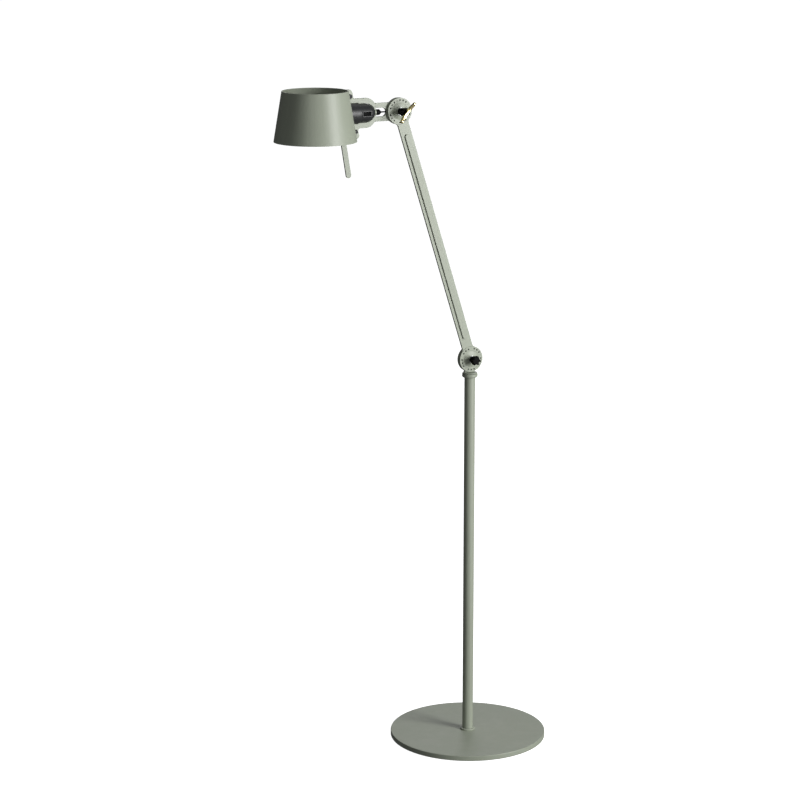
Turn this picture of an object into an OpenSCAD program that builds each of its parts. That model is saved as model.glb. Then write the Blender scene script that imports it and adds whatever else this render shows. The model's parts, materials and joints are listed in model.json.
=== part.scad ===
/* [Base] */
// Diameter of the round base plate
base_d = 300; // [240:5:380]
// Thickness of the base plate
base_t = 10; // [9:0.5:16]
// Chamfer on the top and bottom edges of the base plate
base_chamfer = 0.8; // [0.3:0.1:2]
// Thickness of the pad under the base
pad_t = 1; // [0.5:0.5:4]
// How far the pad's edge stays inside the edge of the base
pad_inset = 4; // [1:1:12]
// Depth of the recess under the base for the clamping nut
nut_recess_depth = 8; // [7:0.5:8.5]
// Diameter of the recess under the base for the clamping nut
nut_recess_d = 36; // [30:1:60]
// Width of the lead channel under the base
base_channel_w = 5; // [4.5:0.5:10]

/* [Pole] */
// Outside diameter of the pole tube
pole_d = 20.5; // [20:0.5:28]
// Wall of the pole tube
pole_wall = 1.5; // [1:0.25:2]
// Length of the pole tube
pole_len = 706; // [400:1:1200]
// Wall of the ring round the foot of the pole
foot_ring_wall = 4; // [2:0.5:10]
// Height of the ring round the foot of the pole
foot_ring_h = 3; // [2:0.5:8]
// Height of the threaded plug inside the foot of the pole
foot_plug_h = 20; // [12:1:40]
// Wall of the hollow stud that clamps the pole to the base
stud_wall = 1.6; // [1.2:0.2:2.4]

/* [Swivel] */
// Wall of the collar on top of the pole
collar_wall = 4.4; // [4:0.2:8]
// Height of the collar
collar_h = 7; // [6.5:0.5:16]
// How far the pole reaches into the collar
collar_socket = 3.5; // [2.5:0.5:4.5]
// Size of the chamfer round the bottom of the collar
collar_chamfer = 1.9; // [0.5:0.1:3]
// Wall of the bush that the stem's spigot turns in
bush_wall = 1.95; // [1:0.05:2.5]
// Length of that bush
bush_len = 30; // [15:1:60]
// Diameter of the round foot of the swivel stem
stem_foot_d = 28; // [22:1:30]
// Height of the round foot of the swivel stem
stem_foot_h = 1.6; // [1:0.2:3]
// Width of the swivel stem's plate
stem_w = 21.5; // [16:0.5:28]
// Height of the lower hinge above the collar
hinge_rise = 28.5; // [28:0.5:60]

/* [Hinges] */
// Diameter of the hinge discs
disc_d = 49; // [46:1:52]
// Thickness of the stem's and the head bracket's plates
plate_t = 4.6; // [4.6:0.2:6]
// Thickness of the arm at its dial discs
arm_t = 5.2; // [5.2:0.2:8]
// How far the dial discs stand out in front of the arm's bar
dial_rise = 1; // [0.5:0.1:1.1]
// Space between the two discs of a hinge
hinge_gap = 0.6; // [0.6:0.1:1.2]
// Thickness of a hinge's friction washer
washer_t = 0.5; // [0.3:0.1:0.5]
// Height of the cone on the front of a dial disc
cone_h = 2.2; // [1:0.1:4]
// Diameter of the cone at its root
cone_root_d = 31; // [28:1:34]
// Diameter of the cone at its tip
cone_tip_d = 14; // [13:0.5:18]
// Diameter of the circle of marks on a dial disc
mark_circle_d = 40.6; // [38:0.2:42]
// Side of a square mark
mark_size = 2.7; // [1.6:0.1:2.8]
// Depth of a square mark
mark_depth = 0.5; // [0.3:0.1:0.5]
// Diameter of the hinge bolts
bolt_d = 6; // [5:0.5:7]
// Wall of the hub round a bolt inside a disc's pocket
hub_wall = 2.5; // [1.5:0.1:3.5]
// Diameter of the pocket inside a disc for the lead
pocket_d = 29; // [24:1:30]

/* [Arm] */
// Distance between the two hinges
arm_len = 498.5; // [300:0.5:700]
// Lean of the arm from the vertical at rest
arm_tilt = 17.8; // [0:0.1:60]
// Width of the arm
arm_w = 22.4; // [20:0.2:28]
// Radius of the hollow fillets between the arm and its discs
arm_fillet = 8; // [4:1:14]
// Width of the raised rib along the front of the arm
rib_w = 9.5; // [6:0.5:14]
// Height of the rib
rib_h = 2.6; // [0.6:0.1:3]
// Distance from the lower hinge to the rib
rib_low_gap = 42; // [34:1:60]
// Distance from the upper hinge to the rib
rib_high_gap = 45; // [34:1:60]
// Width of the cover over the lead channel in the back of the arm
cover_w = 15; // [13:0.5:16]
// Thickness of that cover
cover_t = 0.6; // [0.5:0.1:0.6]

/* [Knobs] */
// Diameter of the neck of the lower knob
lower_neck_d = 11; // [10:0.5:13]
// Diameter of the star head of the lower knob
lower_star_d = 18; // [15:0.5:30]
// Length of the star head of the lower knob
lower_star_len = 9; // [6:0.5:16]
// Diameter of the neck of the upper knob
upper_neck_d = 12.4; // [10:0.2:14]
// Diameter of the star head of the upper knob
upper_star_d = 16.4; // [15:0.2:24]
// Length of the star head of the upper knob
upper_star_len = 11; // [8:0.5:16]
// Length of both knobs' necks
neck_len = 6.5; // [4:0.5:12]
// Length of the wing from tip to tip
wing_len = 46; // [36:1:70]
// Thickness of the wing
wing_t = 4.6; // [3:0.2:6]
// Angle at which the wing stands at rest
wing_angle = 50; // [0:1:180]

/* [Shade] */
// Outside diameter of the shade at the top
shade_top_d = 120; // [110:2:140]
// Outside diameter of the shade at the bottom
shade_bottom_d = 150.2; // [142:0.2:190]
// Height of the shade
shade_h = 90.5; // [80:0.5:120]
// Wall of the shade
shade_wall = 1.2; // [0.8:0.1:2]
// Height of the top of the shade above the middle of the lampholder
shade_rise = 44.4; // [38:0.2:60]
// Distance from the upper hinge to the middle of the shade
shade_reach = 167.6; // [164:0.1:200]

/* [Head bracket] */
// How far the middle of the lampholder is below the upper hinge
head_drop = 0.2; // [0.2:0.1:5]
// Width of the bracket's neck
neck_w = 33.5; // [28:0.5:38]
// Width of the bracket's two bars beside the lampholder
fork_bar = 9.5; // [7:0.5:13]
// Distance from the upper hinge to the bridge behind the lampholder
bridge_reach = 46.6; // [44:0.1:60]
// Thickness of that bridge
bridge_t = 3; // [2:0.5:5]
// Length of the slot that the lead crosses
slot_len = 21; // [14:0.5:22]
// Width of the slot
slot_w = 15.7; // [12:0.1:18]
// Width of the flange along the shade
flange_w = 13; // [11:0.5:18]
// Distance of the flange screws above the middle of the lampholder
screw_rise = 31; // [30:0.5:35]
// Distance of the flange screws below the middle of the lampholder
screw_fall = 33; // [32:0.5:37]

/* [Lampholder] */
// Outside diameter of the lampholder
holder_d = 34.5; // [34:0.1:36]
// How far the collar outside the shade stands out from the lampholder
holder_collar_lip = 1.5; // [1:0.1:2.5]
// Clearance between the lampholder and the bracket
holder_gap = 0.35; // [0.2:0.05:1]
// Diameter of the lead
lead_d = 2.6; // [2:0.1:2.6]
// Diameter of the cable gland
gland_d = 10.7; // [10.4:0.1:12]
// Diameter of the bulb
bulb_d = 45; // [36:1:50]

/* [Handle] */
// Width of the handle bar
handle_w = 10.4; // [8:0.2:14]
// Thickness of the handle bar
handle_t = 3.6; // [2.4:0.2:5]
// How far the handle reaches below the shade
handle_drop = 70; // [40:1:110]
// Distance from the inside of the shade to the middle of the bar
handle_inset = 18.7; // [16:0.1:26]

/* [Hidden] */
$fn = 64;

// Clearances: a turning fit on the radius, a loose fit on the radius, and an air gap
turn_fit = 0.05;
loose_fit = 0.2;
air = 0.3;
// Length by which a cutter passes the face that it opens
past = 1;

// Colours
sage = [0.66, 0.69, 0.60];
black = [0.07, 0.07, 0.075];
brass = [0.85, 0.68, 0.30];
steel = [0.72, 0.73, 0.74];
felt = [0.16, 0.16, 0.16];

// Heights, from the floor up
base_top = pad_t + base_t;
pole_top = base_top + pole_len;
collar_bottom = pole_top - collar_socket;
collar_top = collar_bottom + collar_h;
stem_bottom = collar_top + hinge_gap;
stem_foot_top = stem_bottom + stem_foot_h;
hinge_z = collar_top + hinge_rise;
pole_r = pole_d / 2;
tube_r = pole_r - pole_wall;
collar_r = pole_r + collar_wall;
foot_ring_r = pole_r + foot_ring_wall;
spigot_r = tube_r - bush_wall - turn_fit;
bush_bottom = pole_top - bush_len;
clip_t = 1.2;
clip_groove_r = spigot_r - 1;
clip_top = bush_bottom - air;
clip_bottom = clip_top - clip_t;
spigot_bottom = clip_bottom - 3;

// Depths, from front to back: the arm in front, the two plates behind it
arm_back = -hinge_gap / 2;
arm_front = arm_back - arm_t;
bar_front = arm_front + dial_rise;
plate_front = hinge_gap / 2;
plate_back = plate_front + plate_t;
plate_mid = (plate_front + plate_back) / 2;
cone_front = arm_front - cone_h;
disc_r = disc_d / 2;
bolt_r = bolt_d / 2;
hub_r = bolt_r + hub_wall;
pocket_r = pocket_d / 2;
friction_washer_hole_r = pocket_r + 2;
friction_washer_r = disc_r - 0.8;
bolt_head_r = 7.5;
bolt_head_h = 2.4;
lead_r = lead_d / 2;
lead_hole_r = lead_r + loose_fit;
lead_end = hub_r + 3.5;
// Skin left in front of the lead in the arm
arm_skin = 0.8;
pocket_depth = plate_t - 0.7;

// Lead under the base, and the stud that it passes through
base_lead_z = pad_t + lead_hole_r + 0.6;
lead_bend = lead_r + 0.6;
grommet_w = base_channel_w + 4;
grommet_h = lead_d + 3.6;
grommet_len = 6;
grommet_set_back = 0.4;
stud_bottom = base_lead_z + lead_r + 0.2;
stud_bore_r = plate_mid + lead_hole_r;
stud_r = stud_bore_r + stud_wall;
stud_washer_t = 1;
stud_nut_t = pad_t + nut_recess_depth - stud_washer_t - stud_bottom;
stud_nut_r = stud_r + 5;

// Arm, measured from the lower hinge along the arm
channel_w = lead_d + 1.8;
channel_front = bar_front + arm_skin;
arm_lead_y = channel_front + lead_r + 0.1;
cover_start = friction_washer_r + 2;
cover_screw_start = cover_start + 14;
cover_screw_x = (channel_w / 2 + cover_w / 2) / 2;
cover_screw_r = 1;
cover_screw_len = 2.4;
cover_screw_rows = [cover_screw_start, arm_len / 2, arm_len - cover_screw_start];
mark_count = 20;

// Knobs, measured forward from the arm's plane
knob_washer_t = 0.8;
knob_washer_front = cone_front - turn_fit - knob_washer_t;
insert_r = bolt_r + 1.2;
flare_len = 2;
knob_start = -knob_washer_front;
star_start = knob_start + neck_len + flare_len;
bolt_tip = star_start + 5.5;
insert_end = bolt_tip + 0.6;
wing_seat = star_start + upper_star_len;
tenon_w = 10;
tenon_depth = 3;
wing_depth = 8;
wing_front_bow = 5;
wing_back_bow = 7;
wing_tip_r = 3.6;

// Head
upper_x = -arm_len * sin(arm_tilt);
upper_z = hinge_z + arm_len * cos(arm_tilt);
head_z = upper_z - head_drop;
shade_x = upper_x - shade_reach;
shade_top = head_z + shade_rise;
shade_bottom = shade_top - shade_h;
shade_slope = (shade_bottom_d - shade_top_d) / 2 / shade_h;
shade_angle = atan(shade_slope);
function shade_r(z) = shade_top_d / 2 + (shade_top - z) * shade_slope;
function wall_x(z) = shade_x + shade_r(z);
hem_h = 2.5;
flange_top = shade_top - 0.7;
flange_corner = 6;
flange_fillet = 4;
screw_top_z = head_z + screw_rise;
screw_bottom_z = head_z - screw_fall;
screw_zs = [screw_top_z, screw_bottom_z];
flange_screw_r = 2;
flange_nut_t = 3.2;
clip_plate_t = 1.5;
clip_half_h = 7.5;
clip_depth = 13;
rivet_r = 1.5;
rivet_offset = 8.5;

// Lampholder, on an axis through the middle of the head
holder_r = holder_d / 2;
holder_collar_r = holder_r + holder_collar_lip;
slot_left = upper_x - bridge_reach;
bridge_left = slot_left - bridge_t;
opening_r = holder_r + holder_gap;
fork_half = opening_r + fork_bar;
fork_corner = 21;
fork_end = slot_left + 0.9;
// The lampholder's end: a wide arc that turns to dome_turn, then a tight one down to the nipple
dome_turn = 40;
dome_wide_r = 25;
dome_tight_r = 9.7;
dome_len = dome_wide_r * sin(dome_turn) + dome_tight_r * (1 - sin(dome_turn));
holder_right = bridge_left - 0.3;
collar_left = wall_x(head_z) - holder_collar_r / 2;
collar_right = wall_x(head_z) + 17.6;
cap_left = collar_right - 1;
barrel_left = wall_x(head_z) - 17.4;
barrel_wall = 2.4;
holder_bore_r = holder_r - barrel_wall;
ring_t = 4;
ring_r = holder_r + 4;
ring_right = barrel_left + 6;
ceramic_right = cap_left;
ceramic_t = 7;
ceramic_left = ceramic_right - ceramic_t;
nipple_r = 4;
gland_r = gland_d / 2;
gland_right = slot_left + 8;
gland_tip = gland_right + 3;
boss_r = gland_r + 0.85;

// Switch, on the front of the lampholder
switch_x = slot_left - 25;
rocker_w = 14.8;
rocker_h = 7;
rocker_tilt = 7;
rocker_pivot_y = plate_mid - holder_r + 2.2;
bezel_wall = 1.2;
bezel_depth = 5;
trunnion_r = 0.7;

// Bulb
cap_r = 13.1;
bulb_cap_right = ceramic_left - 0.4;
bulb_cap_len = 24.5;
bulb_cap_left = bulb_cap_right - bulb_cap_len;
bulb_r = bulb_d / 2;
bulb_x = bulb_cap_left - bulb_r - 8.5;
glass_wall = 1;

// Handle
eyelet_r = holder_r + 6.75;
eyelet_left = ring_right;
handle_top = head_z - eyelet_r + 1;
handle_end = shade_bottom - handle_drop + handle_w / 2;
function handle_x(z) = wall_x(z) - shade_wall - handle_inset;

// A flat outline in x and z, given depth from y0 to y1
module slab(y0, y1) {
    translate([0, y1, 0]) rotate([90, 0, 0]) linear_extrude(y1 - y0) children();
}

// Round bars along the three axes
module bar_y(r, y0, y1) {
    translate([0, y1, 0]) rotate([90, 0, 0]) cylinder(r = r, h = y1 - y0);
}
module bar_x(r, x0, x1) {
    translate([x0, 0, 0]) rotate([0, 90, 0]) cylinder(r = r, h = x1 - x0);
}
module bar_z(r, z0, z1) {
    translate([0, 0, z0]) cylinder(r = r, h = z1 - z0);
}

// Places: the lower hinge, the arm from its lower hinge up, the upper hinge, the lampholder
module at_lower() {
    translate([0, 0, hinge_z]) children();
}
module on_arm() {
    at_lower() rotate([0, -arm_tilt, 0]) children();
}
module at_upper() {
    translate([upper_x, 0, upper_z]) children();
}
module at_holder() {
    translate([0, plate_mid, head_z]) children();
}
module at_shade() {
    translate([shade_x, plate_mid, 0]) children();
}

// The straight edges of a plate of width w meet a disc of radius r in hollow fillets.
// The plate's middle is shift to the right of the disc's.
module disc_fillets(w, r, fillet, shift = 0) {
    for (side = [-1, 1]) {
        half = w / 2 + side * shift;
        cx = half + fillet;
        cy = sqrt(pow(r + fillet, 2) - pow(cx, 2));
        mirror([(1 - side) / 2, 0]) difference() {
            polygon([[0, 0], [cx, cy] * r / (r + fillet), [cx, cy], [half, cy], [0, cy]]);
            translate([cx, cy]) circle(fillet);
        }
    }
}

// A rectangle between two corners, with round corners on its right-hand side
module round_right(x0, x1, half, corner) {
    translate([x0, -half]) square([x1 - corner - x0, 2 * half]);
    translate([x0, corner - half]) square([x1 - x0, 2 * (half - corner)]);
    for (side = [-1, 1]) {
        translate([x1 - corner, side * (half - corner)]) circle(corner);
    }
}

// A slot with round ends, along the second axis
module capsule(w, low, high) {
    translate([-w / 2, low + w / 2]) square([w, high - low - w]);
    translate([0, low + w / 2]) circle(w / 2);
    translate([0, high - w / 2]) circle(w / 2);
}

// ---- Base and pole ----

module base_plate() {
    half = base_d / 2;
    color(sage) difference() {
        rotate_extrude() polygon([
            [0, pad_t], [half - base_chamfer, pad_t], [half, pad_t + base_chamfer],
            [half, base_top - base_chamfer], [half - base_chamfer, base_top], [0, base_top]
        ]);
        bar_z(nut_recess_d / 2, pad_t - past, pad_t + nut_recess_depth);
        bar_z(stud_r + turn_fit, pad_t, base_top + past);
        translate([-base_channel_w / 2, 0, pad_t - past]) {
            cube([base_channel_w, half + past, past + base_lead_z + lead_hole_r - pad_t]);
        }
        translate([-grommet_w / 2, half - grommet_len, pad_t - past]) {
            cube([grommet_w, grommet_len + past, past + grommet_h]);
        }
    }
}

module lead_outlet_grommet() {
    half = base_d / 2;
    color(black) difference() {
        translate([-grommet_w / 2, half - grommet_len, pad_t]) {
            cube([grommet_w, grommet_len - grommet_set_back, grommet_h]);
        }
        translate([0, 0, base_lead_z]) bar_y(lead_hole_r, 0, half + past);
    }
}

module base_felt_pad() {
    color(felt) bar_z(base_d / 2 - pad_inset, 0, pad_t);
}

module base_stud() {
    color(steel) difference() {
        bar_z(stud_r, stud_bottom, base_top + foot_plug_h - 2);
        bar_z(stud_bore_r, stud_bottom - past, base_top + foot_plug_h);
    }
}

module base_stud_nut() {
    top = pad_t + nut_recess_depth - stud_washer_t;
    color(steel) difference() {
        translate([0, 0, top - stud_nut_t]) cylinder(r = stud_nut_r, h = stud_nut_t, $fn = 6);
        bar_z(stud_r, top - stud_nut_t - past, top + past);
    }
}

module base_stud_washer() {
    top = pad_t + nut_recess_depth;
    color(steel) difference() {
        bar_z(stud_nut_r + 2, top - stud_washer_t, top);
        bar_z(stud_r + turn_fit, top - stud_washer_t - past, top + past);
    }
}

module pole_foot_ring() {
    outer = foot_ring_r;
    lip = 0.6;
    color(sage) rotate_extrude() polygon([
        [pole_r, base_top], [outer, base_top], [outer, base_top + foot_ring_h - lip],
        [outer - lip, base_top + foot_ring_h], [pole_r, base_top + foot_ring_h]
    ]);
}

module pole_foot_plug() {
    color(steel) difference() {
        bar_z(tube_r, base_top, base_top + foot_plug_h);
        bar_z(stud_r, base_top - past, base_top + foot_plug_h + past);
    }
}

module pole_tube() {
    color(sage) difference() {
        bar_z(pole_r, base_top, pole_top);
        bar_z(tube_r, base_top - past, pole_top + past);
    }
}

module pole_collar() {
    outer = collar_r;
    bore = spigot_r + turn_fit;
    lip = 0.5;
    color(sage) rotate_extrude() polygon([
        [pole_r, collar_bottom], [outer - collar_chamfer, collar_bottom],
        [outer, collar_bottom + collar_chamfer], [outer, collar_top - lip],
        [outer - lip, collar_top], [bore, collar_top], [bore, pole_top], [pole_r, pole_top]
    ]);
}

module swivel_bush() {
    color(black) difference() {
        bar_z(tube_r, bush_bottom, pole_top);
        bar_z(spigot_r + turn_fit, bush_bottom - past, pole_top + past);
    }
}

module swivel_washer() {
    color(black) difference() {
        bar_z(stem_foot_d / 2 - 1, collar_top, collar_top + washer_t);
        bar_z(spigot_r + turn_fit, collar_top - past, collar_top + washer_t + past);
    }
}

// Lead up the pole, off its axis, in line with the stem's plate
module pole_lead() {
    color(black) {
        translate([0, plate_mid, 0]) bar_z(lead_r, base_lead_z + lead_bend, spigot_bottom - past);
        translate([0, plate_mid + lead_bend, base_lead_z + lead_bend]) rotate([0, 90, 0]) {
            intersection() {
                rotate_extrude() translate([lead_bend, 0]) circle(lead_r);
                translate([0, -2 * lead_bend, -lead_bend]) cube(2 * lead_bend);
            }
        }
        translate([0, 0, base_lead_z]) {
            bar_y(lead_r, plate_mid + lead_bend, base_d / 2 - 1.5);
        }
    }
}

// ---- Swivel ----

module swivel_stem() {
    color(sage) difference() {
        union() {
            slab(plate_front, plate_back) {
                translate([0, hinge_z]) circle(disc_r);
                translate([-stem_w / 2, stem_bottom]) square([stem_w, hinge_z - stem_bottom]);
            }
            bar_z(stem_foot_d / 2, stem_bottom, stem_foot_top);
            bar_z(spigot_r, spigot_bottom, stem_bottom + past);
        }
        translate([0, plate_mid, 0]) bar_z(lead_hole_r, spigot_bottom - past, hinge_z - hub_r - 1);
        at_lower() plate_pocket();
        at_lower() bar_y(bolt_r + turn_fit, plate_front - past, plate_back + past);
        difference() {
            bar_z(spigot_r + past, clip_bottom, clip_top);
            bar_z(clip_groove_r, clip_bottom - past, clip_top + past);
        }
    }
}

// Pocket in the front of a rear plate, where the lead crosses a hinge
module plate_pocket() {
    difference() {
        bar_y(pocket_r, plate_front - past, plate_front + pocket_depth);
        bar_y(hub_r, plate_front - 2 * past, plate_back);
    }
}

module spigot_clip() {
    color(steel) difference() {
        bar_z(tube_r - air, clip_bottom, clip_top);
        bar_z(clip_groove_r, clip_bottom - past, clip_top + past);
        translate([-clip_groove_r * 0.8, 0, clip_bottom - past]) {
            cube([clip_groove_r * 1.6, tube_r, clip_t + 2 * past]);
        }
    }
}

// Domed bolt with its head against the back plate, reaching forward into a knob
module hinge_bolt() {
    color(steel) {
        bar_y(bolt_r, -bolt_tip, plate_back);
        rotate([-90, 0, 0]) rotate_extrude() polygon([
            [0, plate_back], [bolt_head_r, plate_back], [bolt_head_r, plate_back + 1],
            [bolt_head_r - 1.6, plate_back + bolt_head_h - 0.4],
            [bolt_head_r - 3.6, plate_back + bolt_head_h], [0, plate_back + bolt_head_h]
        ]);
    }
}

module friction_washer() {
    color(black) difference() {
        bar_y(friction_washer_r, plate_front - washer_t, plate_front);
        bar_y(friction_washer_hole_r, plate_front - washer_t - past, plate_front + past);
    }
}

module lower_hinge_bolt() {
    at_lower() hinge_bolt();
}
module lower_friction_washer() {
    at_lower() friction_washer();
}

module stem_lead() {
    color(black) translate([0, plate_mid, 0]) bar_z(lead_r, spigot_bottom, hinge_z - lead_end);
}

// ---- Arm ----

module arm_outline() {
    circle(disc_r);
    translate([0, arm_len]) circle(disc_r);
    translate([-arm_w / 2, 0]) square([arm_w, arm_len]);
    disc_fillets(arm_w, disc_r, arm_fillet);
    translate([0, arm_len]) mirror([0, 1]) disc_fillets(arm_w, disc_r, arm_fillet);
}

// The cone on a dial disc, with a fine groove round its root
module dial_cone() {
    root = cone_root_d / 2;
    rotate([90, 0, 0]) rotate_extrude() polygon([
        [0, -arm_front - 0.4], [root, -arm_front - 0.4], [root, -arm_front],
        [cone_tip_d / 2, -cone_front], [0, -cone_front]
    ]);
}

module dial_groove() {
    root = cone_root_d / 2;
    rotate([90, 0, 0]) rotate_extrude() polygon([
        [root, -arm_front - 0.4], [root + 0.8, -arm_front + 0.1], [root, -arm_front + 0.1]
    ]);
}

// Square marks round a dial disc, with every fourth one raised; shift says which
module dial_squares(shift) {
    for (k = [0 : mark_count - 1]) {
        if ((k + shift) % 4 != 0) {
            rotate([0, k * 360 / mark_count, 0]) {
                translate([mark_circle_d / 2 - mark_size / 2, arm_front - past, -mark_size / 2]) {
                    cube([mark_size, mark_depth + past, mark_size]);
                }
            }
        }
    }
}

module dial_bars(shift) {
    bar_w = 0.9;
    bar_h = 0.4;
    for (k = [0 : mark_count - 1]) {
        if ((k + shift) % 4 == 0) {
            rotate([0, k * 360 / mark_count, 0]) {
                translate([mark_circle_d / 2 - mark_size / 2, arm_front - bar_h, -bar_w / 2]) {
                    cube([mark_size, bar_h + 0.2, bar_w]);
                }
            }
        }
    }
}

module arm_pocket() {
    difference() {
        bar_y(pocket_r, channel_front, past);
        bar_y(hub_r, arm_front, 2 * past);
    }
}

module arm() {
    color(sage) on_arm() difference() {
        union() {
            slab(bar_front, arm_back) arm_outline();
            for (z = [0, arm_len]) {
                translate([0, 0, z]) bar_y(disc_r, arm_front, arm_back);
            }
            slab(bar_front - rib_h, arm_back) {
                capsule(rib_w, rib_low_gap, arm_len - rib_high_gap);
            }
            dial_cone();
            dial_bars(0);
            translate([0, 0, arm_len]) {
                dial_cone();
                dial_bars(1);
            }
        }
        for (z = [0, arm_len]) {
            translate([0, 0, z]) {
                bar_y(bolt_r + turn_fit, cone_front - past, past);
                arm_pocket();
                dial_groove();
            }
        }
        dial_squares(0);
        translate([0, 0, arm_len]) dial_squares(1);
        slab(channel_front, past) {
            translate([-channel_w / 2, hub_r + 2]) square([channel_w, arm_len - 2 * hub_r - 4]);
        }
        slab(arm_back - cover_t, past) {
            capsule(cover_w + 2 * loose_fit, cover_start - loose_fit,
                    arm_len - cover_start + loose_fit);
        }
        cover_screw_places() bar_y(cover_screw_r, arm_back - cover_t - cover_screw_len, past);
    }
}

module cover_screw_places() {
    for (z = cover_screw_rows) {
        for (side = [-1, 1]) {
            translate([side * cover_screw_x, 0, z]) children();
        }
    }
}

module cover_screw_head() {
    rotate([90, 0, 0]) translate([0, 0, -arm_back]) {
        cylinder(r1 = cover_screw_r + cover_t, r2 = cover_screw_r, h = cover_t);
    }
}

module arm_back_cover() {
    color(sage) on_arm() difference() {
        slab(arm_back - cover_t, arm_back) capsule(cover_w, cover_start, arm_len - cover_start);
        cover_screw_places() cover_screw_head();
    }
}

module arm_cover_screws() {
    color(steel) on_arm() cover_screw_places() {
        cover_screw_head();
        bar_y(cover_screw_r, arm_back - cover_t - cover_screw_len, arm_back - cover_t);
    }
}

module arm_lead() {
    color(black) on_arm() translate([0, arm_lead_y, 0]) {
        bar_z(lead_r, lead_end, arm_len - lead_end);
    }
}

// ---- Knobs ----

// Star of six lobes, with its back edge bevelled by a cone
module star_head(d, len) {
    lobes = 6;
    notch_r = d * 0.18;
    intersection() {
        linear_extrude(len) difference() {
            circle(d / 2);
            for (k = [0 : lobes - 1]) {
                rotate((k + 0.5) * 360 / lobes) translate([d / 2 + notch_r * 0.15, 0]) {
                    circle(notch_r);
                }
            }
        }
        rotate_extrude() polygon([
            [0, -past], [d / 2 - 0.8, -past], [d / 2 - 0.8, 0], [d / 2, 0.8],
            [d / 2, len - 1.2], [d / 2 - 1.4, len], [0, len]
        ]);
    }
}

// Neck, flare and star head, with a blind hole for the insert and the bolt
module knob_body(neck_d, star_d, star_len) {
    rotate([90, 0, 0]) difference() {
        union() {
            translate([0, 0, star_start]) star_head(star_d, star_len);
            rotate_extrude() polygon([
                [0, knob_start], [neck_d / 2, knob_start], [neck_d / 2, knob_start + neck_len],
                [star_d / 2 - 1, star_start], [0, star_start + past]
            ]);
        }
        translate([0, 0, knob_start - past]) cylinder(r = insert_r, h = insert_end - knob_start + past);
    }
}

module knob_insert() {
    color(brass) rotate([90, 0, 0]) difference() {
        translate([0, 0, knob_start]) cylinder(r = insert_r, h = insert_end - knob_start);
        translate([0, 0, knob_start - past]) {
            cylinder(r = bolt_r + turn_fit, h = insert_end - knob_start + 2 * past);
        }
    }
}

module knob_washer() {
    color(steel) difference() {
        bar_y(cone_tip_d / 2 - 0.5, knob_washer_front, knob_washer_front + knob_washer_t);
        bar_y(bolt_r + turn_fit, knob_washer_front - past, cone_front + past);
    }
}

module lower_knob() {
    color(black) at_lower() knob_body(lower_neck_d, lower_star_d, lower_star_len);
}
module lower_knob_insert() {
    at_lower() knob_insert();
}
module lower_knob_washer() {
    at_lower() knob_washer();
}

// The wing stands in a slot across the front of the upper knob
module wing_slot(side) {
    rotate([0, -wing_angle, 0]) translate([0, -wing_seat, 0]) {
        cube([tenon_w + 2 * side, 2 * (tenon_depth + side), wing_t + 2 * side], center = true);
    }
}

module upper_knob() {
    color(black) at_upper() difference() {
        knob_body(upper_neck_d, upper_star_d, upper_star_len);
        wing_slot(turn_fit);
    }
}
module upper_knob_insert() {
    at_upper() knob_insert();
}
module upper_knob_washer() {
    at_upper() knob_washer();
}

// Crescent: bowed inwards along its front edge and outwards along its back edge
module wing_outline() {
    half = wing_len / 2;
    front_r = (pow(half, 2) + pow(wing_front_bow, 2)) / (2 * wing_front_bow);
    back_r = (pow(half, 2) + pow(wing_back_bow, 2)) / (2 * wing_back_bow);
    back_y = wing_seat + back_r;
    front_y = wing_seat + wing_depth + front_r;
    tip_x = half - wing_tip_r;
    tip_back = back_y - sqrt(pow(back_r, 2) - pow(tip_x, 2));
    tip_front = front_y - sqrt(pow(front_r, 2) - pow(tip_x, 2));
    intersection() {
        difference() {
            translate([0, back_y]) circle(back_r);
            translate([0, front_y]) circle(front_r);
        }
        translate([-tip_x, wing_seat]) square([2 * tip_x, 2 * wing_depth]);
    }
    for (side = [-1, 1]) {
        translate([side * tip_x, (tip_back + tip_front) / 2]) circle((tip_front - tip_back) / 2);
    }
    translate([-tenon_w / 2, wing_seat - tenon_depth]) square([tenon_w, tenon_depth + 4]);
}

module brass_wing() {
    color(brass) at_upper() rotate([0, -wing_angle, 0]) mirror([0, 1, 0]) {
        translate([0, 0, -wing_t / 2]) linear_extrude(wing_t) wing_outline();
    }
}

// ---- Head bracket ----

// Strip along the shade, with its two outer corners round
module flange_outline() {
    out = flange_w + 2;
    c = flange_corner;
    low_x = wall_x(shade_bottom) + flange_w;
    high_x = wall_x(flange_top) + flange_w;
    polygon([
        [low_x - out, shade_bottom], [low_x - c, shade_bottom], [low_x - c * shade_slope, shade_bottom + c],
        [high_x + c * shade_slope, flange_top - c], [high_x - c, flange_top], [high_x - out, flange_top]
    ]);
    translate([low_x - c * (1 + shade_slope) + 0.5, shade_bottom + c]) circle(c - 0.05);
    translate([high_x - c + 0.4, flange_top - c]) circle(c - 0.05);
}

module bracket_outline() {
    translate([upper_x, upper_z]) circle(disc_r);
    translate([slot_left - past, head_z - neck_w / 2]) square([bridge_reach + past, neck_w]);
    translate([0, head_z]) {
        round_right(wall_x(head_z) - 4, fork_end, fork_half, fork_corner);
    }
    translate([upper_x, upper_z]) rotate(90) disc_fillets(neck_w, disc_r, arm_fillet, -head_drop);
    flange_outline();
    flange_fillets();
}

// Hollow fillets where the two bars run into the flange
module flange_fillets() {
    r = flange_fillet;
    for (side = [-1, 1]) {
        z = head_z + side * (fork_half + r);
        x = wall_x(z) + flange_w + r / cos(shade_angle);
        difference() {
            polygon([
                [x, z], [x - r * cos(shade_angle), z - r * sin(shade_angle)],
                [wall_x(head_z) + flange_w / 2, head_z + side * (fork_half - 2)], [x, z - side * r]
            ]);
            translate([x, z]) circle(r);
        }
    }
}

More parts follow.
